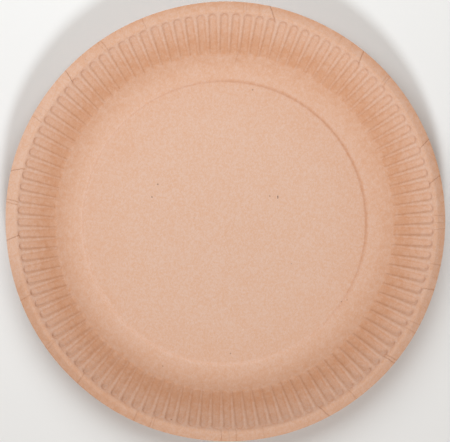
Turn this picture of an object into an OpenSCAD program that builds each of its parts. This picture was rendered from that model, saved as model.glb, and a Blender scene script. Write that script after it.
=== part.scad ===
// Pressed board plate with a fluted side wall.
// One sheet of board of even thickness, formed between two dies. It lies flat
// on a ring of floor around a slightly raised middle panel, and its flutes are
// pressed down into the side wall, so they stand out beneath it. Z is up and
// the origin is at the centre of the foot.

/* [Plate] */
// Outside diameter, measured over the edge of the lip
plate_d = 230; // [190:1:270]
// Overall height, from the foot to the top of the rim
plate_h = 18; // [15:0.5:21]
// Thickness of the board
board_t = 0.5; // [0.35:0.05:0.6]

/* [Floor] */
// Height of the raised middle panel above the foot
panel_rise = 0.6; // [0.3:0.1:1.2]
// Width of the sloping step around the panel
panel_step_w = 0.8; // [0.6:0.1:2]
// Width of the flat ring that the plate stands on
foot_w = 2.8; // [2:0.1:8]

/* [Side wall] */
// Radius of the bend between the floor and the side wall
knuckle_r = 21; // [12:1:26]
// Slope of the side wall
wall_angle = 34; // [30:1:40]

/* [Rim] */
// Width of the lip, from the top of the rim to the edge
lip_w = 4.6; // [3.5:0.1:7]
// Radius of the bend over the top of the rim
rim_bend_r = 2; // [1.5:0.25:5]
// Slope of the lip, down towards its edge
lip_angle = 25; // [5:1:38]

/* [Flutes] */
// Number of flutes around the side wall
flute_count = 108; // [72:1:112]
// Depth of a flute at its round outer end
flute_depth = 1.05; // [0.4:0.05:1.2]
// Depth of a flute at its square inner end
flute_start_depth = 0.35; // [0.2:0.05:0.8]
// Width of the ridge between two flutes, at their inner ends
ridge_w = 1.05; // [0.5:0.05:1.6]
// Slope of a flute's sides, against the side wall
flute_side_angle = 40; // [28:1:60]
// Slope of a flute's square inner end, against the side wall
flute_end_angle = 22; // [18:1:60]
// How far the flutes start before the side wall, in the bend of the floor
flute_lead = 0.9; // [0:0.1:1.8]
// Distance from the round end of a flute to the top of the side wall
flute_inset = 0.3; // [0.2:0.1:4]

/* [Hidden] */
kraft = [0.85, 0.69, 0.56];
// Straight steps in the knuckle and in the bend of the rim, for a drawn section
knuckle_steps = 4;
rim_steps = 3;
// Straight steps around the end of a flute, an odd number for a flat tip
end_steps = 5;
// Shares of the foot's width where the sheet begins and the floor ends, so
// that the two overlap
sheet_share = 0.25;
floor_share = 0.75;
// Faces around the plate in a preview
$fn = 216;

flute_pitch = 360 / flute_count;
rim_r = plate_d / 2 - lip_w;
rim_c = [rim_r, plate_h - board_t / 2 - rim_bend_r];
wall_top = rim_c + rim_bend_r * normal(wall_angle);
wall_foot_z = board_t / 2 + knuckle_r * (1 - cos(wall_angle));
wall_foot = [wall_top.x - (wall_top.y - wall_foot_z) / tan(wall_angle), wall_foot_z];
foot_r = wall_foot.x - knuckle_r * sin(wall_angle);
knuckle_c = [foot_r, board_t / 2 + knuckle_r];
foot_in_r = foot_r - foot_w;
panel_r = foot_in_r - panel_step_w;
step_angle = atan(panel_rise / panel_step_w);

// A flute's sides point at the middle of the plate, and its round end meets them
flute_half_angle = flute_pitch / 2 - asin(ridge_w / 2 / wall_foot.x);
flute_out_r = wall_top.x - flute_inset;
flute_end_r = flute_out_r * sin(flute_half_angle)
    / (1 + sin(flute_half_angle) * cos(wall_angle));
flute_end_up = (flute_out_r - wall_foot.x) / cos(wall_angle) - flute_end_r;
flute_side_w = flute_depth / tan(flute_side_angle);
flute_start_side_w = flute_start_depth / tan(flute_side_angle);
flute_floor_up = flute_start_depth / tan(flute_end_angle) - flute_lead;

// Direction square to a slope, on its upper side
function normal(slope) = [-sin(slope), cos(slope)];

// How far a crease moves along the sheet, from its upper to its lower face
function mitre(angle) = board_t * tan(angle / 2);

// Section points: a lift is a distance up from the middle of the board
function knuckle_point(i, lift) =
    knuckle_c - (knuckle_r - lift) * normal(wall_angle * i / knuckle_steps);

function wall_point(up, lift) =
    wall_foot + up * [cos(wall_angle), sin(wall_angle)] + lift * normal(wall_angle);

function rim_point(i, lift) =
    rim_c + (rim_bend_r + lift)
        * normal(wall_angle - (wall_angle + lip_angle) * i / rim_steps);

function edge_point(lift) =
    let (bend = rim_point(rim_steps, 0),
        run = plate_d / 2 - board_t / 2 * sin(lip_angle) - bend.x)
    bend + [run, -run * tan(lip_angle)] + lift * normal(-lip_angle);

// Point of the sheet, from a section point: the turn counts flutes, and the
// side is a distance from the middle of that flute
function spot(section, turn, side = 0) =
    let (a = turn * flute_pitch + asin(side / section.x))
    [section.x * cos(a), section.x * sin(a), section.y];

// Square end of a flute, from side to side
function square_end(turn, up, lift, grow) =
    let (section = wall_point(up, lift),
        half_w = wall_point(up, 0).x * sin(flute_half_angle) + grow)
    [for (side = [-1, 1]) spot(section, turn, side * half_w)];

// Round end of a flute, from side to side
function round_end(turn, lift, grow) =
    [for (j = [0 : end_steps])
        let (a = 180 * j / end_steps - 90, r = flute_end_r + grow)
        spot(wall_point(flute_end_up + r * cos(a), lift), turn, r * sin(a))];

// Points of one face of the sheet at one flute. On the lower face, drop is the
// thickness of the board and each crease is moved by its mitre.
function face_points(turn, drop) =
    let (lift = board_t / 2 - drop,
        side_grow = drop > 0 ? mitre(flute_side_angle) : 0,
        end_grow = drop > 0 ? mitre(flute_end_angle) : 0,
        ridge = turn + 1 / 2)
    concat(
        [spot([foot_in_r + foot_w * sheet_share, board_t - drop], ridge)],
        [for (i = [0 : knuckle_steps - 1]) spot(knuckle_point(i, lift), ridge)],
        square_end(turn, -flute_lead - end_grow, lift, side_grow),
        square_end(turn, flute_floor_up - end_grow, lift - flute_start_depth,
            side_grow - flute_start_side_w),
        round_end(turn, lift - flute_depth, side_grow - flute_side_w),
        round_end(turn, lift, side_grow),
        [for (i = [0 : rim_steps]) spot(rim_point(i, lift), ridge)],
        [spot(edge_point(lift), ridge)]);

// Places of those points in the list
at_knuckle = 1;
at_end = at_knuckle + knuckle_steps;
at_end_floor = at_end + 2;
at_round_floor = at_end_floor + 2;
at_round = at_round_floor + end_steps + 1;
at_rim = at_round + end_steps + 1;
at_edge = at_rim + rim_steps + 1;
face_count = at_edge + 1;
round_last = at_round + end_steps;
floor_last = at_round_floor + end_steps;
tip = (end_steps - 1) / 2;

// Facets of a face at one flute. Each corner is a place in the list, with 1
// added to its second number where it belongs to the next flute.
function strip(inner, outer) = [[inner, 0], [inner, 1], [outer, 1], [outer, 0]];

face_facets = concat(
    [for (i = [0 : knuckle_steps - 1]) strip(i, i + 1)],
    [[[at_end - 1, 0], [at_end - 1, 1], [at_end + 1, 1], [at_end, 1]],
        [[at_end - 1, 0], [at_end, 1], [at_end + 1, 0]],
        [[at_end, 0], [at_end + 1, 0], [at_end_floor + 1, 0], [at_end_floor, 0]],
        [[at_end_floor, 0], [at_end_floor + 1, 0], [floor_last, 0], [at_round_floor, 0]],
        [[at_end_floor + 1, 0], [at_end + 1, 0], [round_last, 0]],
        [[at_end_floor + 1, 0], [round_last, 0], [floor_last, 0]],
        [[at_end_floor, 0], [at_round_floor, 0], [at_round, 0]],
        [[at_end_floor, 0], [at_round, 0], [at_end, 0]],
        [[at_end + 1, 0], [at_end, 1], [at_round, 1], [round_last, 0]],
        [[round_last, 0], [at_round, 1], [at_rim, 0]],
        [[at_round + tip, 1], [at_round + tip + 1, 1], [at_rim, 1], [at_rim, 0]]],
    [for (j = [0 : tip - 1])
        [[at_round_floor + j, 0], [floor_last - j, 0],
            [floor_last - j - 1, 0], [at_round_floor + j + 1, 0]]],
    [for (j = [0 : end_steps - 1])
        [[at_round_floor + j, 0], [at_round_floor + j + 1, 0], [at_round + j + 1, 0]]],
    [for (j = [0 : end_steps - 1])
        [[at_round_floor + j, 0], [at_round + j + 1, 0], [at_round + j, 0]]],
    [for (j = [0 : tip - 1]) [[at_round + j, 1], [at_round + j + 1, 1], [at_rim, 0]]],
    [for (j = [tip + 1 : end_steps - 1])
        [[at_round + j, 0], [at_round + j + 1, 0], [at_rim, 0]]],
    [for (i = [at_rim : at_edge - 1]) strip(i, i + 1)]);

lower_start = flute_count * face_count;

function place(corner, turn) =
    (turn + corner[1]) % flute_count * face_count + corner[0];

function reversed(list) = [for (i = [len(list) - 1 : -1 : 0]) list[i]];

// Side wall and rim, with the outer part of the foot
module sheet() {
    points = [
        for (drop = [0, board_t])
            for (turn = [0 : flute_count - 1])
                each face_points(turn, drop)];
    upper = [
        for (turn = [0 : flute_count - 1])
            for (facet = face_facets)
                [for (corner = facet) place(corner, turn)]];
    lower = [for (facet = upper) [for (i = reversed(facet)) i + lower_start]];
    outer_edge = [
        for (turn = [0 : flute_count - 1])
            let (a = place([at_edge, 0], turn), b = place([at_edge, 1], turn))
            [a, b, b + lower_start, a + lower_start]];
    inner_edge = [
        for (turn = [0 : flute_count - 1])
            let (a = place([0, 0], turn), b = place([0, 1], turn))
            [b, a, a + lower_start, b + lower_start]];
    polyhedron(points = points, faces = concat(upper, lower, outer_edge, inner_edge));
}

// Middle panel, the step around it and the inner part of the foot
module floor_disc() {
    out_r = foot_in_r + foot_w * floor_share;
    shift = mitre(step_angle);
    rotate_extrude()
        polygon([
            [0, panel_rise],
            [panel_r, panel_rise],
            [foot_in_r, 0],
            [out_r, 0],
            [out_r, board_t],
            [foot_in_r + shift, board_t],
            [panel_r + shift, board_t + panel_rise],
            [0, board_t + panel_rise]]);
}

module plate() {
    color(kraft)
    union() {
        floor_disc();
        sheet();
    }
}

plate();
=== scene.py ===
"""Pressed kraft board plate: the fluted sheet, its board finish and a plain studio stage."""

import math
import random
from functools import reduce

import bmesh
import bpy
from mathutils import Matrix, Vector


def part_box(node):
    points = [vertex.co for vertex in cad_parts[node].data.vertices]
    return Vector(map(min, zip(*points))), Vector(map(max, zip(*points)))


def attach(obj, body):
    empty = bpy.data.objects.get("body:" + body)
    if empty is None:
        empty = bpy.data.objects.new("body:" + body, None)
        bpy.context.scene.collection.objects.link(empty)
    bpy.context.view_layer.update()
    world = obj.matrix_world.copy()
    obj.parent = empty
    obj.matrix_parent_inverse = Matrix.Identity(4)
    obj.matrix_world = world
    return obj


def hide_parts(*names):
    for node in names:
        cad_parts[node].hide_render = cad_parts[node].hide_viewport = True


bl_info = {
    "name": "Pressed Board Plate",
    "version": (1, 0, 0),
    "blender": (4, 5, 0),
    "location": "View3D > Sidebar > Plate",
    "description": "Builds a fluted plate of pressed kraft board on its packed solid",
    "category": "Mesh",
}

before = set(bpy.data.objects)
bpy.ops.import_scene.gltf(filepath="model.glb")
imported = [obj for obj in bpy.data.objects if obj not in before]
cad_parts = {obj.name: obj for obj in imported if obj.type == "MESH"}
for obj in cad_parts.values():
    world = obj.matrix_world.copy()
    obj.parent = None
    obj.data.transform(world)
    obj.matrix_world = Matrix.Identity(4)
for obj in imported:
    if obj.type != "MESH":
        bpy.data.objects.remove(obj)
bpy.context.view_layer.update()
PLATE_LOW, PLATE_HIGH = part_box("plate")
MM = 0.001

# Columns of the sheet across one flute, from ridge to ridge
COLUMNS = 12
HALF_COLUMNS = COLUMNS // 2
# Rows of the sheet in the bend of the floor, over the rim and along the lip
KNUCKLE_ROWS = 6
RIM_ROWS = 7
LIP_ROWS = 2
# Share of the panel's radius at which the floor has a row
PANEL_SHARE = 0.55
# Shares of the step's width at which the panel's step has a row
STEP_SHARES = (0.0, 0.16, 0.34, 0.5, 0.66, 0.84, 1.0)
# How far the step's rounding reaches past each side of it, as a share of its width
STEP_ROUNDING = 0.45
# How evenly the columns are spaced where the rim starts, from 0 to 1
RIM_EVEN = 0.35
# Seed of the flutes' uneven depths
DEPTH_SEED = 11
# Distance within which two points are one, in metres
MERGE_DISTANCE = 1e-6
# Place of the cut edge's finish among the sheet's materials
CUT_EDGE_SLOT = 1

# Waves in the stored plate's edge: how many go around it, their size as a share
# of the radius, and the angle of a crest in degrees
EDGE_WAVES = ((2, 0.0011, -45), (3, 0.0012, 62), (5, 0.0008, 12), (9, 0.0006, 5))
# How far the stored edge lies inwards on average, as a share of the radius
EDGE_INWARDS = 0.0034
# Sag of the stored rim in millimetres, the least and what its two low sides add,
# and the angle of a low side in degrees
SAG_LEAST = 0.04
SAG_ADDED = 0.35
SAG_ANGLE = 120

# Distance stored where no fold is near, in metres
NO_FOLD = 1.0
# How far round the plate a fold is still near, in radians
FOLD_NEAR = 0.5
# Radius inside which no fold reaches, in metres
FOLDS_FROM = 82 * MM
# Shares of a fold's length over which it fades in and fades out
FOLD_IN = (-0.15, 0.1)
FOLD_OUT = (1.0, 1.125)

# Folds in the lip, where the board gathered: the angles at its inner and outer
# ends in degrees, the radii of those ends in millimetres, and how deep it is
FOLDS = (
    (1.4, 1.0, 108.6, 115.0, 0.7),
    (10.2, 11.9, 108.2, 115.0, 1.0),
    (20.2, 21.8, 108.2, 115.0, 0.9),
    (40.4, 41.0, 108.4, 115.0, 0.7),
    (49.6, 50.6, 107.8, 115.0, 1.0),
    (57.3, 57.5, 109.0, 115.0, 0.35),
    (76.0, 78.0, 107.8, 115.0, 1.0),
    (84.0, 84.2, 108.6, 115.0, 0.4),
    (112.0, 112.2, 108.4, 115.0, 0.6),
    (124.2, 124.4, 108.4, 115.0, 0.7),
    (137.4, 136.4, 107.8, 115.0, 1.0),
    (148.1, 148.1, 109.0, 115.0, 0.35),
    (151.5, 151.2, 108.6, 115.0, 0.6),
    (165.0, 166.6, 107.8, 115.0, 1.0),
    (174.4, 173.9, 108.2, 115.0, 0.8),
    (183.6, 184.8, 107.8, 115.0, 1.0),
    (200.4, 200.8, 108.4, 115.0, 0.6),
    (214.8, 215.2, 109.0, 114.4, 0.5),
    (226.6, 227.2, 108.4, 115.0, 0.6),
    (244.6, 244.8, 108.4, 115.0, 0.6),
    (249.0, 249.2, 108.2, 115.0, 0.6),
    (268.2, 268.5, 108.4, 115.0, 0.7),
    (272.2, 272.5, 108.4, 115.0, 0.6),
    (279.6, 279.6, 109.0, 115.0, 0.35),
    (296.2, 297.6, 107.8, 115.0, 1.0),
    (305.6, 306.0, 108.4, 115.0, 0.6),
    (319.0, 319.6, 107.8, 115.0, 1.0),
    (329.0, 329.2, 108.4, 115.0, 0.6),
    (331.2, 331.5, 108.4, 115.0, 0.6),
    (340.6, 341.6, 107.8, 115.0, 1.0),
    (348.0, 348.2, 108.4, 115.0, 0.6),
    (357.4, 357.8, 108.4, 115.0, 0.6),
)
# Second lines of double folds, and folds that run down a ridge into the well
SIDE_FOLDS = (
    (41.2, 41.8, 108.6, 114.2, 0.5),
    (84.8, 85.0, 109.0, 115.0, 0.35),
    (125.0, 125.4, 108.8, 115.0, 0.5),
    (175.2, 174.6, 108.4, 115.0, 0.7),
    (214.0, 214.2, 109.4, 114.4, 0.4),
    (249.8, 250.0, 108.6, 115.0, 0.5),
    (319.8, 320.6, 108.4, 115.0, 0.8),
    (85.9, 84.3, 83.8, 94.0, 0.55),
)
# Slopes that the lip has taken in store: angle around the plate, slope, degrees
LIP_SLOPES = (
    (0, 28), (30, 19), (60, 14), (90, 17), (110, 13), (138, 4), (160, 1), (182, 2),
    (200, 34), (222, 48), (245, 44), (265, 38), (285, 33), (305, 32), (335, 32),
)
# Bits of bark in the board: x, y, half width, half height, in
# millimetres, and how dark; a light one is negative
FLECKS = (
    (-34.9, 20.2, 0.45, 0.40, 0.55),
    (-38.0, 13.6, 0.42, 0.36, 0.7),
    (23.8, 13.8, 0.32, 0.35, 0.6),
    (28.0, 13.2, 0.28, 0.85, 0.85),
    (34.8, -21.8, 0.35, 0.30, 0.4),
    (-15.9, 2.5, 0.30, 0.30, 0.35),
    (15.2, 69.6, 0.40, 0.40, 0.5),
    (2.5, -68.6, 0.40, 0.35, 0.45),
    (-32.9, -74.9, 0.35, 0.35, 0.4),
    (-29.2, -103.0, 0.45, 0.35, 0.5),
    (60.9, -41.8, 0.35, 0.35, 0.4),
    (63.9, -40.9, 0.30, 0.30, 0.35),
    (46.9, 1.6, 0.40, 0.35, -0.4),
    (9.2, -56.3, 0.40, 0.40, -0.35),
)


class PlateSizes(bpy.types.PropertyGroup):
    """Sizes of the pressed sheet."""

    diameter: bpy.props.FloatProperty(
        name="Diameter", description="Width over the edge of the lip",
        default=PLATE_HIGH.x - PLATE_LOW.x, min=0.1, unit="LENGTH", subtype="DISTANCE",
    )
    height: bpy.props.FloatProperty(
        name="Height", description="From the foot to the top of the rim",
        default=18 * MM, min=0.005, unit="LENGTH", subtype="DISTANCE",
    )
    thickness: bpy.props.FloatProperty(
        name="Board Thickness", description="Thickness of the board",
        default=0.5 * MM, min=0.0001, unit="LENGTH", subtype="DISTANCE",
    )
    panel_rise: bpy.props.FloatProperty(
        name="Panel Rise", description="Height of the middle panel above the foot",
        default=0.6 * MM, min=0.0, unit="LENGTH", subtype="DISTANCE",
    )
    panel_step: bpy.props.FloatProperty(
        name="Panel Step", description="Width of the sloping step around the panel",
        default=0.8 * MM, min=0.0001, unit="LENGTH", subtype="DISTANCE",
    )
    foot_width: bpy.props.FloatProperty(
        name="Foot Width", description="Width of the flat ring that the plate stands on",
        default=2.8 * MM, min=0.0005, unit="LENGTH", subtype="DISTANCE",
    )
    knuckle_radius: bpy.props.FloatProperty(
        name="Knuckle Radius", description="Radius of the bend from floor to side wall",
        default=21 * MM, min=0.002, unit="LENGTH", subtype="DISTANCE",
    )
    wall_slope: bpy.props.FloatProperty(
        name="Wall Slope", description="Slope of the side wall",
        default=math.radians(34), unit="ROTATION", subtype="ANGLE",
    )
    lip_width: bpy.props.FloatProperty(
        name="Lip Width", description="From the top of the rim to the edge",
        default=4.6 * MM, min=0.0005, unit="LENGTH", subtype="DISTANCE",
    )
    rim_radius: bpy.props.FloatProperty(
        name="Rim Bend Radius", description="Radius of the bend over the top of the rim",
        default=2 * MM, min=0.0005, unit="LENGTH", subtype="DISTANCE",
    )
    lip_slope: bpy.props.FloatProperty(
        name="Lip Slope", description="Slope of the lip as pressed, down towards its edge",
        default=math.radians(25), unit="ROTATION", subtype="ANGLE",
    )
    lip_bend: bpy.props.FloatProperty(
        name="Lip Bend", description="How much of the stored plate's uneven lip is shown",
        default=1.0, min=0.0, max=1.0, subtype="FACTOR",
    )


class FluteSizes(bpy.types.PropertyGroup):
    """Sizes of the flutes pressed into the side wall."""

    count: bpy.props.IntProperty(
        name="Flutes", description="Number of flutes around the side wall",
        default=108, min=12, max=200,
    )
    depth: bpy.props.FloatProperty(
        name="Depth", description="Depth of a flute at its round outer end",
        default=1.05 * MM, min=0.0, unit="LENGTH", subtype="DISTANCE",
    )
    start_depth: bpy.props.FloatProperty(
        name="Start Depth", description="Depth of a flute at its square inner end",
        default=0.35 * MM, min=0.0, unit="LENGTH", subtype="DISTANCE",
    )
    ridge: bpy.props.FloatProperty(
        name="Ridge Width", description="Width between two flutes at their inner ends",
        default=1.05 * MM, min=0.0002, unit="LENGTH", subtype="DISTANCE",
    )
    side_slope: bpy.props.FloatProperty(
        name="Side Slope", description="Slope of a flute's sides, against the wall",
        default=math.radians(40), unit="ROTATION", subtype="ANGLE",
    )
    end_slope: bpy.props.FloatProperty(
        name="End Slope", description="Slope of a flute's square end, against the wall",
        default=math.radians(22), unit="ROTATION", subtype="ANGLE",
    )
    lead: bpy.props.FloatProperty(
        name="Lead", description="How far the flutes start before the wall, in the bend",
        default=0.9 * MM, min=0.0, unit="LENGTH", subtype="DISTANCE",
    )
    inset: bpy.props.FloatProperty(
        name="Inset", description="From the round end of a flute to the top of the wall",
        default=0.3 * MM, min=0.0, unit="LENGTH", subtype="DISTANCE",
    )
    softness: bpy.props.FloatProperty(
        name="Softness", description="How far each bend of a flute is rounded",
        default=0.2 * MM, min=0.0, unit="LENGTH", subtype="DISTANCE",
    )
    unevenness: bpy.props.FloatProperty(
        name="Unevenness", description="How much the depth differs from flute to flute",
        default=0.14, min=0.0, max=0.5, subtype="FACTOR",
    )


class BoardColours(bpy.types.PropertyGroup):
    """Colours of the kraft board."""

    board: bpy.props.FloatVectorProperty(
        name="Board", description="Colour of the plain board",
        default=(0.70, 0.479, 0.373), size=3, min=0, max=1, subtype="COLOR",
    )
    mottle: bpy.props.FloatVectorProperty(
        name="Mottle", description="Colour of the darker fibres",
        default=(0.664, 0.384, 0.248), size=3, min=0, max=1, subtype="COLOR",
    )
    # The pressed tint also carries painted shade on the flutes, at the step and over the lip
    # and edge, and painted light beside the step and on one side of the lip.
    pressed: bpy.props.FloatVectorProperty(
        name="Pressed", description="Tint of the board where the die rubbed it hardest",
        default=(0.87, 0.715, 0.585), size=3, min=0, max=1, subtype="COLOR",
    )
    # The fold colour is painted shade in the bottom of each crease.
    fold: bpy.props.FloatVectorProperty(
        name="Fold", description="Colour in the bottom of a fold",
        default=(0.42, 0.16, 0.07), size=3, min=0, max=1, subtype="COLOR",
    )
    bark: bpy.props.FloatVectorProperty(
        name="Bark Flecks", description="Colour of the dark flecks",
        default=(0.09, 0.045, 0.03), size=3, min=0, max=1, subtype="COLOR",
    )
    cut_edge: bpy.props.FloatVectorProperty(
        name="Cut Edge", description="Colour of the board's cut edge",
        default=(0.68, 0.43, 0.30), size=3, min=0, max=1, subtype="COLOR",
    )
    # Sided Rubbing scales painted shade and painted light that change from side to side
    # across the step, lip and edge.
    sided_light: bpy.props.FloatProperty(
        name="Sided Rubbing",
        description="How far the rub differs from side to side, which partly stands for "
                    "the photographed light; 0 makes it even, for other lights",
        default=1.0, min=0.0, max=1.0, subtype="FACTOR",
    )


class StageSettings(bpy.types.PropertyGroup):
    """Floor, light and camera."""

    floor: bpy.props.FloatVectorProperty(
        name="Floor", description="Colour of the floor",
        default=(0.80, 0.79, 0.77), size=3, min=0, max=1, subtype="COLOR",
    )
    key_power: bpy.props.FloatProperty(
        name="Key Light", description="Power of the low light at the near side",
        default=57.0, min=0.0, unit="POWER",
    )
    fill_power: bpy.props.FloatProperty(
        name="Top Light", description="Power of the wide light overhead",
        default=3.38, min=0.0, unit="POWER",
    )
    ambient: bpy.props.FloatProperty(
        name="Ambient", description="Strength of the light from all round",
        default=0.224, min=0.0,
    )
    camera_distance: bpy.props.FloatProperty(
        name="Camera Distance", description="From the camera to the top of the rim",
        default=2.5, min=0.3, unit="LENGTH", subtype="DISTANCE",
    )


# Section of the sheet


def clamped(value):
    """A value kept between 0 and 1."""
    return min(1.0, max(0.0, value))


def between(value, low, high):
    """How far a value is on its way from one to another, from 0 to 1."""
    return clamped((value - low) / (high - low))


def eased(share):
    """A share that starts and ends gently."""
    return share * share * (3 - 2 * share)


def square_to(slope):
    """Direction square to a slope, on its upper side."""
    return Vector((-math.sin(slope), math.cos(slope)))


class Section:
    """The plate's section, as the middle of the board, with lifts from it."""

    def __init__(self, sizes, flutes):
        self.sizes = sizes
        self.flutes = flutes
        half = sizes.thickness / 2
        slope = sizes.wall_slope
        self.edge_r = sizes.diameter / 2
        rim_r = self.edge_r - sizes.lip_width
        self.rim_c = Vector((rim_r, sizes.height - half - sizes.rim_radius))
        wall_top = self.rim_c + sizes.rim_radius * square_to(slope)
        foot_z = half + sizes.knuckle_radius * (1 - math.cos(slope))
        foot_x = wall_top.x - (wall_top.y - foot_z) / math.tan(slope)
        self.wall_foot = Vector((foot_x, foot_z))
        self.foot_r = foot_x - sizes.knuckle_radius * math.sin(slope)
        self.panel_r = self.foot_r - sizes.foot_width - sizes.panel_step
        self.pitch = 2 * math.pi / flutes.count
        self.half_angle = self.pitch / 2 - math.asin(flutes.ridge / 2 / foot_x)
        out_r = wall_top.x - flutes.inset
        sine = math.sin(self.half_angle)
        self.end_r = out_r * sine / (1 + sine * math.cos(slope))
        self.end_up = (out_r - foot_x) / math.cos(slope) - self.end_r
        self.ramp = flutes.start_depth / math.tan(flutes.end_slope)
        self.floor_up = self.ramp - flutes.lead

    def depth(self, up):
        """Depth of a flute, a distance up the wall."""
        start = self.flutes.start_depth
        return start + (self.flutes.depth - start) * between(up, self.floor_up, self.end_up)

    def side_width(self, up):
        """Width of a flute's sloping side, a distance up the wall."""
        return self.depth(up) / math.tan(self.flutes.side_slope)

    def wall(self, up, lift):
        """Point of the section up the wall, lifted from the middle of the board."""
        slope = self.sizes.wall_slope
        uphill = Vector((math.cos(slope), math.sin(slope)))
        return self.wall_foot + up * uphill + lift * square_to(slope)

    def rows(self):
        """Rows from the middle outwards: (zone, place in the zone)."""
        soft = self.flutes.softness
        floor = self.end_r - self.side_width(self.end_up)
        start = -self.flutes.lead
        zones = {
            "floor": (0.0, PANEL_SHARE),
            "step": STEP_SHARES,
            "knuckle": [i / KNUCKLE_ROWS for i in range(KNUCKLE_ROWS)],
            "wall": (
                start - soft, start + soft, start + self.ramp / 2, self.floor_up - soft,
                self.floor_up + soft, self.end_up / 3, self.end_up * 2 / 3,
            ),
            "round": (
                0.0, floor / 2, floor - soft, floor + soft, self.end_r - soft,
                self.end_r + soft,
            ),
            "rim": [i / RIM_ROWS for i in range(RIM_ROWS + 1)],
            "lip": [(i + 1) / LIP_ROWS for i in range(LIP_ROWS)],
        }
        return [(zone, place) for zone, places in zones.items() for place in places]

    def column_widths(self, radius, up):
        """Distances of the columns from the middle of a flute, up to the ridge's."""
        soft = self.flutes.softness
        top = radius * math.sin(self.half_angle)
        floor = top - self.side_width(up)
        return (
            0.0, floor / 2, floor - soft, floor + soft, top - soft, top + soft,
            radius * math.sin(self.pitch / 2),
        )

    def depth_share(self, width, top, up):
        """Share of a flute's depth at a distance from its middle line."""
        return between(width, top, top - self.side_width(up))

    def place(self, row, column, force, lip_slope):
        """Radius, angle, height and share of the flute's depth of a grid point."""
        zone, share = row
        side = -1 if column < 0 else 1
        column = abs(column)
        if zone in ("wall", "round"):
            radius, angle, z, pressed = self.wall_place(zone, share, column, force)
            return radius, side * angle, z, pressed
        radius, z = self.plain_place(zone, share, lip_slope)
        outer = zone in ("rim", "lip")
        up = self.end_up if outer else 0.0
        base = self.wall(up, 0).x
        angle = math.asin(self.column_widths(base, up)[column] / base)
        if outer:
            even = self.pitch / 2 * column / HALF_COLUMNS
            angle += (even - angle) * (clamped(RIM_EVEN + share) if zone == "rim" else 1.0)
        return radius, side * angle, z, 0.0

    def plain_place(self, zone, share, lip_slope):
        """Radius and height of the upper face where there are no flutes."""
        sizes = self.sizes
        half = sizes.thickness / 2
        if zone == "floor":
            return self.panel_r * share, 2 * half + sizes.panel_rise
        if zone == "step":
            soft = sizes.panel_step * STEP_ROUNDING
            radius = self.panel_r - soft + (sizes.panel_step + 2 * soft) * share
            return radius, 2 * half + sizes.panel_rise * (1 - eased(share))
        if zone == "knuckle":
            arc_c = Vector((self.foot_r, half + sizes.knuckle_radius))
            return arc_c - (sizes.knuckle_radius - half) * square_to(sizes.wall_slope * share)
        turned = share if zone == "rim" else 1
        slope = sizes.wall_slope - (sizes.wall_slope + lip_slope) * turned
        radius, z = self.rim_c + (sizes.rim_radius + half) * square_to(slope)
        if zone == "lip":
            run = (self.edge_r - radius) * share
            radius += run
            z -= run * math.tan(lip_slope)
        return radius, z

    def wall_place(self, zone, up, column, force):
        """Radius, angle, height and share of the depth of a point on the side wall."""
        half = self.sizes.thickness / 2
        if zone == "wall":
            depth = self.depth(up)
            radius = self.wall(up, half).x
            width = self.column_widths(radius, up)[column]
            pressed = self.depth_share(width, radius * math.sin(self.half_angle), up)
            pressed *= clamped((up + self.flutes.lead) / self.ramp)
        else:
            depth = self.depth(self.end_up)
            up, width, pressed = self.round_end(up, column)
        radius, z = self.wall(up, half - force * pressed * depth)
        angle = self.pitch / 2 if column == HALF_COLUMNS else math.asin(width / radius)
        return radius, angle, z, pressed

    def round_end(self, reach, column):
        """Place up the wall, width and share of the depth in a flute's round end."""
        base = self.wall(self.end_up, self.sizes.thickness / 2).x
        width = self.column_widths(base, self.end_up)[column]
        ring = max(width, reach)
        pressed = self.depth_share(ring, self.end_r, self.end_up)
        if column == HALF_COLUMNS:
            return self.end_up + reach, width, pressed
        if reach >= width:
            turn = math.pi / 4 * (width / reach if reach else 0)
        else:
            turn = math.pi / 2 - math.pi / 4 * reach / width
        return self.end_up + ring * math.cos(turn), ring * math.sin(turn), pressed


def rim_drift(angle):
    """Small departures of a stored plate from its die: radius share and sag."""
    out = sum(
        size * math.cos(waves * (angle - math.radians(crest)))
        for waves, size, crest in EDGE_WAVES
    )
    low = 0.5 + 0.5 * math.cos(2 * (angle - math.radians(SAG_ANGLE)))
    return out - EDGE_INWARDS, SAG_ADDED * MM * low + SAG_LEAST * MM


def uneven_lip(angle):
    """Slope that the stored plate's lip has taken at an angle around it."""
    degrees = math.degrees(angle) % 360
    around = LIP_SLOPES + ((360, LIP_SLOPES[0][1]),)
    before, after = next(
        pair for pair in zip(around, around[1:]) if degrees <= pair[1][0])
    share = eased(between(degrees, before[0], after[0]))
    return math.radians(before[1] + (after[1] - before[1]) * share)


def fold_values(folds, radius, angle):
    """Distance from the nearest fold, and its depth, at a point of the sheet."""
    nearest, power = NO_FOLD, 0.0
    for inner_a, outer_a, inner_r, outer_r, depth in folds:
        share = (radius / MM - inner_r) / (outer_r - inner_r)
        line = math.radians(inner_a + (outer_a - inner_a) * share)
        off = (angle - line + math.pi) % (2 * math.pi) - math.pi
        distance = radius * math.sin(off)
        if abs(off) < FOLD_NEAR and abs(distance) < abs(nearest):
            nearest = distance
            power = depth * min(between(share, *FOLD_IN), 1 - between(share, *FOLD_OUT))
    return nearest, power


def add_object(context, name, bm):
    """Make a bmesh into an object of the scene."""
    mesh = bpy.data.meshes.new(name)
    bm.to_mesh(mesh)
    bm.free()
    made = bpy.data.objects.new(name, mesh)
    context.scene.collection.objects.link(made)
    return made


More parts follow.
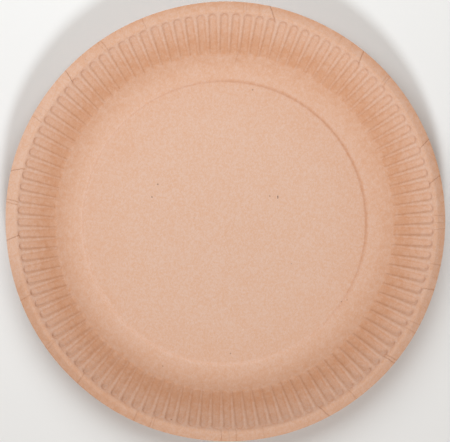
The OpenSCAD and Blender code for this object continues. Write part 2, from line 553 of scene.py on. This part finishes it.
class PLATE_OT_sheet(bpy.types.Operator):
    """Spin the plate's section, press its flutes and give the sheet its thickness"""

    bl_idname = "plate.sheet"
    bl_label = "Pressed Sheet"
    bl_options = {"REGISTER", "UNDO"}

    def execute(self, context):
        scene = context.scene
        section = Section(scene.plate_sizes, scene.plate_flutes)
        bm = bmesh.new()
        row_tag = bm.verts.layers.int.new("row")
        self.spin_section(bm, row_tag, section)
        self.press(bm, row_tag, section)
        self.thicken(bm, scene.plate_sizes.thickness)
        self.mark_folds(bm)
        for name in ("row", "border"):
            bm.verts.layers.int.remove(bm.verts.layers.int[name])
        sheet = add_object(context, "pressed_sheet", bm)
        sheet.data.materials.append(kraft_board(scene.plate_colours))
        sheet.data.materials.append(cut_board(scene.plate_colours))
        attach(sheet, "root")
        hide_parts("plate")
        return {"FINISHED"}

    def spin_section(self, bm, row_tag, section):
        """Draw the section with one point a row, and spin it all the way round."""
        previous = None
        for number, row in enumerate(section.rows()):
            radius, _, z, _ = section.place(row, 0, 0.0, section.sizes.lip_slope)
            vert = bm.verts.new((radius, 0, z))
            vert[row_tag] = number
            if previous:
                bm.edges.new((previous, vert))
            previous = vert
        bmesh.ops.spin(
            bm, geom=bm.verts[:] + bm.edges[:], cent=(0, 0, 0), axis=(0, 0, 1),
            angle=2 * math.pi, steps=section.flutes.count * COLUMNS, use_merge=True,
        )

    def press(self, bm, row_tag, section):
        """Move each point of the spun section to its place on the fluted sheet."""
        sizes, flutes = section.sizes, section.flutes
        rng = random.Random(DEPTH_SEED)
        forces = [1 - flutes.unevenness * rng.random() for _ in range(flutes.count)]
        rows = section.rows()
        steps = flutes.count * COLUMNS
        pressed = bm.verts.layers.float.new("pressed")
        for vert in bm.verts:
            turn = math.atan2(vert.co.y, vert.co.x) % (2 * math.pi)
            column = round(turn / (2 * math.pi) * steps) % steps
            flute = round(column / COLUMNS)
            local = column - flute * COLUMNS
            flute %= flutes.count
            bend = sizes.lip_bend
            lip_slope = sizes.lip_slope * (1 - bend) + uneven_lip(turn) * bend
            radius, angle, z, vert[pressed] = section.place(
                rows[vert[row_tag]], local, forces[flute], lip_slope)
            angle += flute * section.pitch
            if radius > section.foot_r:
                out, sag = rim_drift(angle)
                swing = eased((radius - section.foot_r) / (section.edge_r - section.foot_r))
                radius *= 1 + out * swing
                z -= sag * swing * z / sizes.height
            vert.co = (radius * math.cos(angle), radius * math.sin(angle), z)

    def thicken(self, bm, thickness):
        """Close the spun sheet, give it its thickness and mark its cut edge."""
        bmesh.ops.remove_doubles(bm, verts=bm.verts[:], dist=MERGE_DISTANCE)
        bmesh.ops.recalc_face_normals(bm, faces=bm.faces[:])
        bm.normal_update()
        if sum(face.normal.z for face in bm.faces) < 0:
            bmesh.ops.reverse_faces(bm, faces=bm.faces[:])
        border = bm.verts.layers.int.new("border")
        for edge in bm.edges:
            if edge.is_boundary:
                for vert in edge.verts:
                    vert[border] = 1
        bmesh.ops.solidify(bm, geom=bm.faces[:], thickness=thickness)
        for face in bm.faces:
            face.smooth = True
            if all(vert[border] for vert in face.verts):
                face.material_index = CUT_EDGE_SLOT
        for edge in bm.edges:
            edge.smooth = len({face.material_index for face in edge.link_faces}) == 1

    def mark_folds(self, bm):
        """Store the distance from the nearest fold on each point, for the finish."""
        new_layer = bm.verts.layers.float.new
        layers = [
            (folds, new_layer(name), new_layer(name + "_depth"))
            for name, folds in (("fold", FOLDS), ("side_fold", SIDE_FOLDS))
        ]
        for vert in bm.verts:
            radius = math.hypot(vert.co.x, vert.co.y)
            angle = math.atan2(vert.co.y, vert.co.x)
            for folds, distance, depth in layers:
                if radius > FOLDS_FROM:
                    vert[distance], vert[depth] = fold_values(folds, radius, angle)
                else:
                    vert[distance], vert[depth] = NO_FOLD, 0.0


# Board finish

# Tint around the plate: two radii in millimetres, and the strength at each.
# It grows over the well and the bend, and the wall beyond has less of it.
WELL_TINT = (44, 84, 0.0, 0.26)
BEND_TINT = (74, 89.5, 0.0, 0.42)
WALL_LESS_TINT = (92, 106, 0.92, 0.06)
# Painted shade added at the square ends of the flutes, and taken off again past them
SQUARE_END_PAINTED_SHADE = (88, 90.5, 0.0, 0.14)
SQUARE_END_SHADE_TAKEN_OFF = (92, 98, 0.0, 0.14)
# How the painted shade in the flutes starts and ends along them, and its strength on
# their floors and on their sides
FLUTE_START = (87.5, 95, 0.3, 1.0)
FLUTE_END = (104.5, 107.5, 1.0, 0.45)
FLUTE_FLOOR_PAINTED_SHADE = 0.3
FLUTE_SIDE_PAINTED_SHADE = 1.3
# Radii between which the painted shade of the lip and of its edge begins, in millimetres
LIP_START = (107.4, 109.6)
EDGE_START = (111.0, 114.5)
# Radius of the step's line of painted shade in millimetres, and how the line and
# the wider band of painted light around it fade with the distance from it
STEP_LINE = 74.4
STEP_LINE_FADE = (0.4, 1.3, 1.0, 0.0)
STEP_BAND_FADE = (0.9, 2.0, 1.0, 0.0)
# Painted shade and painted light that differ from side to side: the direction that
# it is measured in, in degrees, two distances from the middle in millimetres, the
# even strength, and what Sided Rubbing adds to it at each distance. The lip is
# darker, less so towards 165 degrees and more towards 222, the edge is darker, most
# towards 60, and the step's line is darker towards 35 and its band lighter away from it
LIP_SHADE_AND_LIGHT = ((165, 88, 108, 0.34, 0.0, -0.28), (222, 88, 108, 0.0, 0.0, 0.2))
EDGE_PAINTED_SHADE = (60, 0, 100, 0.29, -0.15, 0.15)
STEP_LINE_PAINTED_SHADE = (35, -15, 70, 0.11, -0.25, 0.25)
STEP_BAND_LIGHT_AND_SHADE = (35, -60, 60, -0.02, -0.1, 0.1)
# How the patches change the tint and its painted shade and light: two values of
# their noise, and the factor at each
PATCHY_TINT = (0.3, 0.7, 0.78, 1.22)

# Weights of the mottling, fibres and clouds in the board's tone, and how dark
# the tone makes the board
MOTTLE_TONE = 0.38
FIBRE_TONE = 0.6
CLOUD_TONE = 0.1
TONE_DARK = (0.38, 0.7, 0.0, 0.9)
TONE_ROUGHNESS = (0.3, 0.7, 0.78, 0.92)

# Distances from a fold over which its line fades, how far the line wanders, how
# deep its crease is, all in millimetres, and how strong its colour is, which is
# painted shade in the bottom of the crease
FOLD_FADE = (0.05, 0.42, 1.0, 0.0)
FOLD_WANDER = 1.1
FOLD_CREASE = 0.18
FOLD_PAINTED_SHADE = 0.42

# Colour of the light flecks, how far a fleck's outline wobbles in millimetres,
# the share of its size where it fades, and how steep a face may be to have any
PALE_FLECK = (0.86, 0.66, 0.52)
FLECK_WOBBLE = 0.5
FLECK_FADE = (0.5, 1.4)
UPPER_FACE = (0.0, 0.2)

# Drops the height of a place
FLAT = (1.0, 1.0, 0.0)
# Places of the two colours and the result among a Mix node's sockets
MIX_FIRST = 6
MIX_SECOND = 7
MIX_RESULT = 2


def fill(tree, node, inputs):
    """Join or fill a node's sockets."""
    for name, value in inputs.items():
        if isinstance(value, bpy.types.NodeSocket):
            tree.links.new(value, node.inputs[name])
        else:
            node.inputs[name].default_value = value


def add_node(tree, kind, inputs=None, **settings):
    """Add a node, set it up and join or fill its sockets."""
    node = tree.nodes.new(kind)
    for name, value in settings.items():
        setattr(node, name, value)
    fill(tree, node, inputs or {})
    return node


def maths(tree, operation, *values):
    """Result of a sum on numbers."""
    node = add_node(tree, "ShaderNodeMath", dict(enumerate(values)), operation=operation)
    return node.outputs[0]


def vector_maths(tree, operation, *values):
    """Result of a sum on vectors."""
    node = add_node(
        tree, "ShaderNodeVectorMath", dict(enumerate(values)), operation=operation)
    return node.outputs["Value" if operation in ("LENGTH", "DOT_PRODUCT") else "Vector"]


def weighted(tree, *parts):
    """Sum of values, each times its weight."""
    scaled = [maths(tree, "MULTIPLY", value, weight) for value, weight in parts]
    return reduce(lambda first, second: maths(tree, "ADD", first, second), scaled)


def strongest(tree, values):
    """Largest of several values at each point."""
    return reduce(lambda first, second: maths(tree, "MAXIMUM", first, second), values)


def attribute(tree, name):
    """A value that is stored on the sheet's points."""
    return add_node(tree, "ShaderNodeAttribute", attribute_name=name).outputs["Fac"]


def mapped(tree, vector, scale, location=(0, 0, 0), turn=0.0, vector_type="POINT"):
    """Places that stretch, turn or centre a pattern."""
    return add_node(
        tree, "ShaderNodeMapping",
        {"Vector": vector, "Location": location, "Rotation": (0, 0, turn), "Scale": scale},
        vector_type=vector_type,
    ).outputs[0]


def noise(tree, vector, scale, detail=2.0, roughness=0.5, distortion=0.0):
    """Smooth noise from 0 to 1, with its scale a metre."""
    return add_node(
        tree, "ShaderNodeTexNoise",
        {"Vector": vector, "Scale": scale, "Detail": detail, "Roughness": roughness,
         "Distortion": distortion},
    ).outputs["Fac"]


def ramp(tree, value, low, high, to_low=0.0, to_high=1.0):
    """Smooth change from one result to another as a value goes from low to high."""
    return add_node(
        tree, "ShaderNodeMapRange",
        {"Value": value, "From Min": low, "From Max": high, "To Min": to_low,
         "To Max": to_high},
        interpolation_type="SMOOTHSTEP",
    ).outputs["Result"]


def ramp_mm(tree, distance, low, high, to_low=0.0, to_high=1.0):
    """The same over a distance, with its ends in millimetres."""
    return ramp(tree, distance, low * MM, high * MM, to_low, to_high)


def mix(tree, factor, first, second, blend="MIX"):
    """Mix two colours, each a socket or a plain colour."""
    first, second = (
        value if isinstance(value, bpy.types.NodeSocket) else (*value, 1.0)
        for value in (first, second)
    )
    return add_node(
        tree, "ShaderNodeMix", data_type="RGBA", blend_type=blend,
        inputs={"Factor": factor, MIX_FIRST: first, MIX_SECOND: second},
    ).outputs[MIX_RESULT]


def start_material(name):
    """New material, with its node tree, its shader and its object's coordinates."""
    material = bpy.data.materials.new(name)
    material.use_nodes = True
    tree = material.node_tree
    tree.nodes.clear()
    shader = add_node(tree, "ShaderNodeBsdfPrincipled")
    add_node(tree, "ShaderNodeOutputMaterial", {"Surface": shader.outputs["BSDF"]})
    place = add_node(tree, "ShaderNodeTexCoord").outputs["Object"]
    return material, tree, shader, place


def sided_light_and_shade(tree, place, sided_light, degrees, low, high, even, at_low, at_high):
    """Painted shade and painted light that change across the plate in a direction, by Sided
    Rubbing.
    """
    turn = math.radians(degrees)
    across = vector_maths(tree, "DOT_PRODUCT", place, (math.cos(turn), math.sin(turn), 0.0))
    return ramp_mm(tree, across, low, high, even + at_low * sided_light, even + at_high * sided_light)


def tint_and_painted_shade(tree, place, radius, patches, sided_light):
    """Strength of the pressed tint at each point: browner over the well and bend, with
    painted shade and light on the flutes, step, lip and edge.
    """
    # Browner over the well and into the bend, and less of it up the wall
    darkened = maths(
        tree, "ADD", ramp_mm(tree, radius, *WELL_TINT), ramp_mm(tree, radius, *BEND_TINT))
    darkened = maths(tree, "MULTIPLY", darkened, ramp_mm(tree, radius, *WALL_LESS_TINT))
    # Painted shade over the lip, less to one side and more to another
    lip_shade_and_light = maths(tree, "ADD", *(sided_light_and_shade(tree, place, sided_light, *rub) for rub in LIP_SHADE_AND_LIGHT))
    off_step = maths(tree, "ABSOLUTE", maths(tree, "SUBTRACT", radius, STEP_LINE * MM))
    # Painted shade on the lip, the edge and the step's line, and painted light in the band by
    # the step
    for where, strength in (
        (ramp_mm(tree, radius, *LIP_START), lip_shade_and_light),
        (ramp_mm(tree, radius, *EDGE_START), sided_light_and_shade(tree, place, sided_light, *EDGE_PAINTED_SHADE)),
        (ramp_mm(tree, off_step, *STEP_LINE_FADE),
         sided_light_and_shade(tree, place, sided_light, *STEP_LINE_PAINTED_SHADE)),
        (ramp_mm(tree, off_step, *STEP_BAND_FADE),
         sided_light_and_shade(tree, place, sided_light, *STEP_BAND_LIGHT_AND_SHADE)),
    ):
        darkened = maths(tree, "MULTIPLY_ADD", where, strength, darkened)
    # Painted shade at the flutes' square ends, taken off again past them
    darkened = maths(tree, "ADD", darkened, ramp_mm(tree, radius, *SQUARE_END_PAINTED_SHADE))
    darkened = maths(tree, "SUBTRACT", darkened, ramp_mm(tree, radius, *SQUARE_END_SHADE_TAKEN_OFF))
    # Painted shade on the flutes' floors and, most, on their sloping sides
    pressed = attribute(tree, "pressed")
    side = maths(tree, "MULTIPLY", pressed, maths(tree, "SUBTRACT", 1.0, pressed))
    fade = maths(tree, "MULTIPLY", ramp_mm(tree, radius, *FLUTE_START),
                 ramp_mm(tree, radius, *FLUTE_END))
    for part, strength in ((pressed, FLUTE_FLOOR_PAINTED_SHADE), (side, FLUTE_SIDE_PAINTED_SHADE)):
        faded = maths(tree, "MULTIPLY", part, fade)
        darkened = maths(tree, "MULTIPLY_ADD", faded, strength, darkened)
    return maths(tree, "MULTIPLY", darkened, ramp(tree, patches, *PATCHY_TINT))


def fibres(tree, place):
    """Tone of the board, from its clouds to its fibres, and the height of its grain."""
    grain = mapped(tree, place, (1.0, 0.85, 1.0))
    strand = mapped(tree, place, (1.0, 0.62, 1.0), turn=0.12)
    cloud = noise(tree, place, scale=85, detail=3.0, roughness=0.5)
    mottle = noise(tree, grain, scale=660, detail=3.0, roughness=0.55, distortion=0.3)
    fibre = noise(tree, strand, scale=1750, detail=3.0, roughness=0.65, distortion=0.6)
    tone = weighted(tree, (mottle, MOTTLE_TONE), (fibre, FIBRE_TONE), (cloud, CLOUD_TONE))
    return tone, weighted(tree, (fibre, 0.5), (mottle, 0.5))


def fold_line(tree, name, wander):
    """How near a point is to a fold, from 0 to its depth."""
    off = maths(tree, "ABSOLUTE", maths(tree, "ADD", attribute(tree, name), wander))
    line = ramp_mm(tree, off, *FOLD_FADE)
    return maths(tree, "MULTIPLY", line, attribute(tree, name + "_depth"))


def fleck(tree, place, x, y, half_width, half_height, strength):
    """One bit of bark, from its strength in the middle to 0 outside."""
    local = mapped(
        tree, place, (half_width * MM, half_height * MM, 1.0),
        location=(x * MM, y * MM, 0), vector_type="TEXTURE")
    size = vector_maths(tree, "LENGTH", vector_maths(tree, "MULTIPLY", local, FLAT))
    return ramp(tree, size, *FLECK_FADE, abs(strength), 0.0)


def flecks(tree, place, flat):
    """Strengths of the dark and of the light flecks, on the upper face only."""
    wobble = add_node(
        tree, "ShaderNodeTexNoise", {"Vector": place, "Scale": 1800.0, "Detail": 1.0}
    ).outputs["Color"]
    wobble = vector_maths(tree, "ADD", wobble, (-0.5, -0.5, -0.5))
    wobble = vector_maths(tree, "MULTIPLY", wobble, (FLECK_WOBBLE * MM,) * 3)
    wobbled = vector_maths(tree, "ADD", flat, wobble)
    normal = add_node(tree, "ShaderNodeTexCoord").outputs["Normal"]
    facing = add_node(tree, "ShaderNodeSeparateXYZ", {"Vector": normal}).outputs["Z"]
    upper = ramp(tree, facing, *UPPER_FACE)
    dark = [fleck(tree, wobbled, *spot) for spot in FLECKS if spot[-1] > 0]
    light = [fleck(tree, wobbled, *spot) for spot in FLECKS if spot[-1] < 0]
    return [maths(tree, "MULTIPLY", strongest(tree, kind), upper) for kind in (dark, light)]


def kraft_board(colours):
    """Uncoated kraft board: mottled fibres, flecks, folds and a tint with painted shade and
    light.
    """
    material, tree, shader, place = start_material("kraft_board")
    flat = vector_maths(tree, "MULTIPLY", place, FLAT)
    radius = vector_maths(tree, "LENGTH", flat)
    patches = noise(tree, place, scale=320)
    tone, height = fibres(tree, place)
    darkened = tint_and_painted_shade(tree, place, radius, patches, colours.sided_light)
    wander = maths(
        tree, "MULTIPLY_ADD", patches, FOLD_WANDER * MM, -FOLD_WANDER / 2 * MM)
    folds = strongest(
        tree, [fold_line(tree, name, wander) for name in ("fold", "side_fold")])
    dark_flecks, light_flecks = flecks(tree, place, flat)

    colour = mix(tree, ramp(tree, tone, *TONE_DARK), colours.board, colours.mottle)
    # The pressed tint, which holds painted shade and painted light as well
    colour = mix(tree, darkened, colour, colours.pressed, "MULTIPLY")
    # Painted shade in the bottom of the folds
    colour = mix(tree, maths(tree, "MULTIPLY", folds, FOLD_PAINTED_SHADE), colour, colours.fold)
    colour = mix(tree, dark_flecks, colour, colours.bark)
    colour = mix(tree, light_flecks, colour, PALE_FLECK)

    fine = add_node(
        tree, "ShaderNodeBump", {"Height": height, "Strength": 0.45, "Distance": 0.05 * MM})
    creased = add_node(
        tree, "ShaderNodeBump",
        {"Height": folds, "Strength": 1.0, "Distance": FOLD_CREASE * MM,
         "Normal": fine.outputs["Normal"]}, invert=True)
    fill(tree, shader, {
        "Base Color": colour,
        "Roughness": ramp(tree, tone, *TONE_ROUGHNESS),
        "Specular IOR Level": 0.28,
        "Normal": creased.outputs["Normal"],
    })
    return material


def cut_board(colours):
    """Raw cut edge of the board, with its layers of fibre."""
    material, tree, shader, place = start_material("cut_board_edge")
    layer = mapped(tree, place, (0.25, 0.25, 3.0))
    plies = noise(tree, layer, scale=3200, detail=3.0, roughness=0.6)
    bump = add_node(
        tree, "ShaderNodeBump", {"Height": plies, "Strength": 0.7, "Distance": 0.08 * MM})
    fill(tree, shader, {
        "Base Color": mix(
            tree, ramp(tree, plies, 0.35, 0.65), colours.cut_edge, colours.mottle),
        "Roughness": ramp(tree, plies, 0.3, 0.7, 0.85, 0.97),
        "Specular IOR Level": 0.2,
        "Normal": bump.outputs["Normal"],
    })
    return material


# Stage

# Lights: name, the setting that holds the power, width and place in metres
LIGHTS = (
    ("top_light", "fill_power", 0.7, (-0.091, 0.325, 0.5)),
    ("key_light", "key_power", 0.6, (0.086, -2.338, 1.809)),
)
LIGHT_COLOUR = (0.859, 0.94, 1.0)
AMBIENT_COLOUR = (1.0, 0.654, 0.397, 1.0)
# How far the floor reaches from the middle, in metres, and the faces along it
FLOOR_REACH = 3.0
FLOOR_FACES = 8
# Colour of the floor's faint darker patches
FLOOR_PATCH = (0.74, 0.73, 0.72)
# Direction from the plate to the camera, how far the camera is turned in
# degrees, and how far from the middle it aims, in millimetres
CAMERA_SIDE = (-0.047, -0.047, 1.0)
CAMERA_TURN = -0.44
CAMERA_AIM = -0.6
# Widths of the picture and of the plate in it, in pixels
PICTURE_WIDTH = 450
PLATE_WIDTH = 442.1
# Width of the camera's sensor in millimetres, and how far it sees in metres
SENSOR_WIDTH = 36.0
CAMERA_REACH = 20


def aim(obj, position, target, up):
    """Put an object at a position, looking at a target."""
    ahead = (target - position).normalized()
    right = ahead.cross(up).normalized()
    true_up = right.cross(ahead)
    turn = Matrix((right, true_up, -ahead)).transposed()
    obj.matrix_world = Matrix.Translation(position) @ turn.to_4x4()


def add_light(context, name, power, size, position):
    """Add a soft round light that looks at the middle of the plate."""
    light = bpy.data.lights.new(name, "AREA")
    light.energy = power
    light.color = LIGHT_COLOUR
    light.shape = "DISK"
    light.size = size
    lamp = bpy.data.objects.new(name, light)
    context.scene.collection.objects.link(lamp)
    aim(lamp, Vector(position), Vector((0, 0, 0)), Vector((0, 1, 0.01)))


class PLATE_OT_stage(bpy.types.Operator):
    """Lay a pale floor, set soft studio lights and aim the camera from above"""

    bl_idname = "plate.stage"
    bl_label = "Studio Stage"
    bl_options = {"REGISTER", "UNDO"}

    def execute(self, context):
        stage = context.scene.plate_stage
        bm = bmesh.new()
        bmesh.ops.create_grid(
            bm, x_segments=FLOOR_FACES, y_segments=FLOOR_FACES, size=FLOOR_REACH)
        floor = add_object(context, "studio_floor", bm)
        floor.data.materials.append(self.floor_finish(stage.floor))

        world = bpy.data.worlds.new("studio")
        world.use_nodes = True
        back = world.node_tree.nodes["Background"]
        back.inputs["Color"].default_value = AMBIENT_COLOUR
        back.inputs["Strength"].default_value = stage.ambient
        context.scene.world = world
        context.scene.view_settings.view_transform = "Standard"
        for name, setting, size, position in LIGHTS:
            add_light(context, name, getattr(stage, setting), size, position)
        self.add_camera(context, stage.camera_distance)
        return {"FINISHED"}

    def add_camera(self, context, distance):
        """Aim the camera at the rim from almost straight above, in the photo's frame."""
        sizes = context.scene.plate_sizes
        camera = bpy.data.objects.new("camera", bpy.data.cameras.new("camera"))
        context.scene.collection.objects.link(camera)
        target = Vector((CAMERA_AIM * MM, 0, sizes.height))
        position = target + distance * Vector(CAMERA_SIDE).normalized()
        turn = math.radians(CAMERA_TURN)
        aim(camera, position, target, Vector((-math.sin(turn), math.cos(turn), 0)))
        width = sizes.diameter * PICTURE_WIDTH / PLATE_WIDTH
        camera.data.sensor_width = SENSOR_WIDTH
        camera.data.lens = SENSOR_WIDTH * distance / width
        camera.data.clip_end = CAMERA_REACH
        context.scene.camera = camera

    def floor_finish(self, colour):
        """Matt pale floor with faint patches."""
        material, tree, shader, place = start_material("studio_floor")
        shade = ramp(tree, noise(tree, place, scale=6), 0.3, 0.7, 0.0, 0.15)
        fill(tree, shader, {
            "Base Color": mix(tree, shade, colour, FLOOR_PATCH),
            "Roughness": 0.9,
            "Specular IOR Level": 0.1,
        })
        return material


class PLATE_PT_panel(bpy.types.Panel):
    """Sizes, colours and building steps of the plate"""

    bl_idname = "PLATE_PT_panel"
    bl_label = "Pressed Board Plate"
    bl_space_type = "VIEW_3D"
    bl_region_type = "UI"
    bl_category = "Plate"

    def draw(self, context):
        """List the settings of each group, and the building steps."""
        scene = context.scene
        for group in (scene.plate_sizes, scene.plate_flutes, scene.plate_colours,
                      scene.plate_stage):
            box = self.layout.box()
            for name in group.__annotations__:
                box.prop(group, name)
        column = self.layout.column(align=True)
        column.operator(PLATE_OT_sheet.bl_idname)
        column.operator(PLATE_OT_stage.bl_idname)


CLASSES = (
    PlateSizes,
    FluteSizes,
    BoardColours,
    StageSettings,
    PLATE_OT_sheet,
    PLATE_OT_stage,
    PLATE_PT_panel,
)
GROUPS = {
    "plate_sizes": PlateSizes,
    "plate_flutes": FluteSizes,
    "plate_colours": BoardColours,
    "plate_stage": StageSettings,
}


def register():
    """Register the classes and hang their settings on the scene."""
    for cls in CLASSES:
        bpy.utils.register_class(cls)
    for name, group in GROUPS.items():
        setattr(bpy.types.Scene, name, bpy.props.PointerProperty(type=group))


def unregister():
    """Take the settings and the classes away again."""
    for name in GROUPS:
        delattr(bpy.types.Scene, name)
    for cls in reversed(CLASSES):
        bpy.utils.unregister_class(cls)


def main():
    """Build the plate and its stage."""
    register()
    bpy.ops.plate.sheet()
    bpy.ops.plate.stage()


if __name__ == "__main__":
    main()
